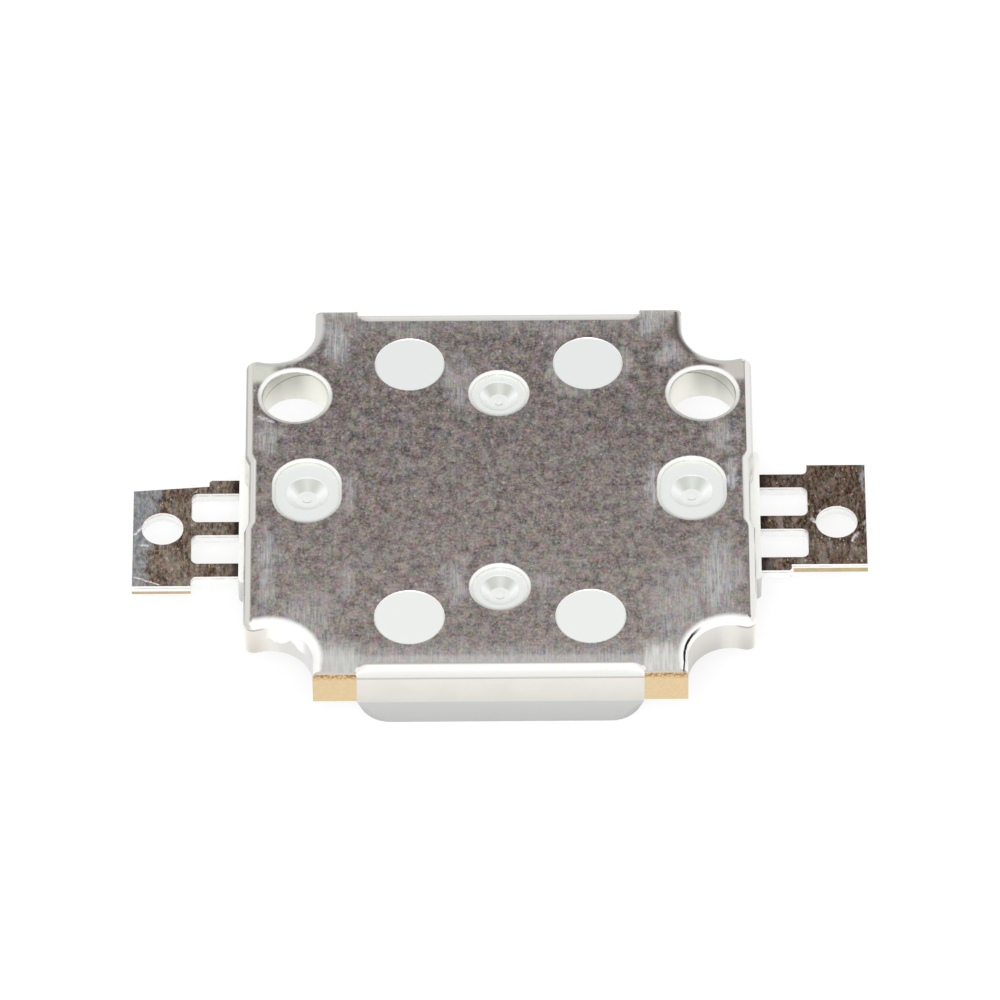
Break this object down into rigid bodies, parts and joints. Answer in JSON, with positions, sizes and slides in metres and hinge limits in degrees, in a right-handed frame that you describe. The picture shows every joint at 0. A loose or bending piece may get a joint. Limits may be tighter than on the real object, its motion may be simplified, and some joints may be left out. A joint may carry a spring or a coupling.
{
  "type": "COB LED package, 10 W class",
  "caption": "Square chip-on-board LED package lying face-down: plated heat-sink plate, white moulded frame and a stamped solder lead on each side.",
  "frame": {"origin": "centre of the package on the surface that its front rim rests on", "axes": "+X along the leads, to the right in the picture; +Y towards the side with the two through holes; +Z out of the heat-sink face"},
  "size_m": [0.0288, 0.0188, 0.004],
  "materials": {
    "plated_copper": "satin nickel and silver plating on copper",
    "white_resin": "smooth white moulding resin",
    "plated_lead": "dull plating on a stamped copper alloy",
    "led_die": "polished chip",
    "silver_paste": "cured silver paste",
    "gold_wire": "bright gold",
    "phosphor_silicone": "smooth cured silicone"
  },
  "bodies": {
    "root": {"base_plate": "plated_copper", "housing_frame": "white_resin", "lead_left": "plated_lead", "lead_right": "plated_lead", "led_die_1_1": "led_die", "die_attach_1_1": "silver_paste", "led_die_1_2": "led_die", "die_attach_1_2": "silver_paste", "led_die_1_3": "led_die", "die_attach_1_3": "silver_paste", "bond_wire_1_1": "gold_wire", "bond_wire_1_2": "gold_wire", "bond_wire_1_3": "gold_wire", "bond_wire_1_4": "gold_wire", "led_die_2_1": "led_die", "die_attach_2_1": "silver_paste", "led_die_2_2": "led_die", "die_attach_2_2": "silver_paste", "led_die_2_3": "led_die", "die_attach_2_3": "silver_paste", "bond_wire_2_1": "gold_wire", "bond_wire_2_2": "gold_wire", "bond_wire_2_3": "gold_wire", "bond_wire_2_4": "gold_wire", "led_die_3_1": "led_die", "die_attach_3_1": "silver_paste", "led_die_3_2": "led_die", "die_attach_3_2": "silver_paste", "led_die_3_3": "led_die", "die_attach_3_3": "silver_paste", "bond_wire_3_1": "gold_wire", "bond_wire_3_2": "gold_wire", "bond_wire_3_3": "gold_wire", "bond_wire_3_4": "gold_wire", "phosphor_fill": "phosphor_silicone"}
  },
  "joints": []
}
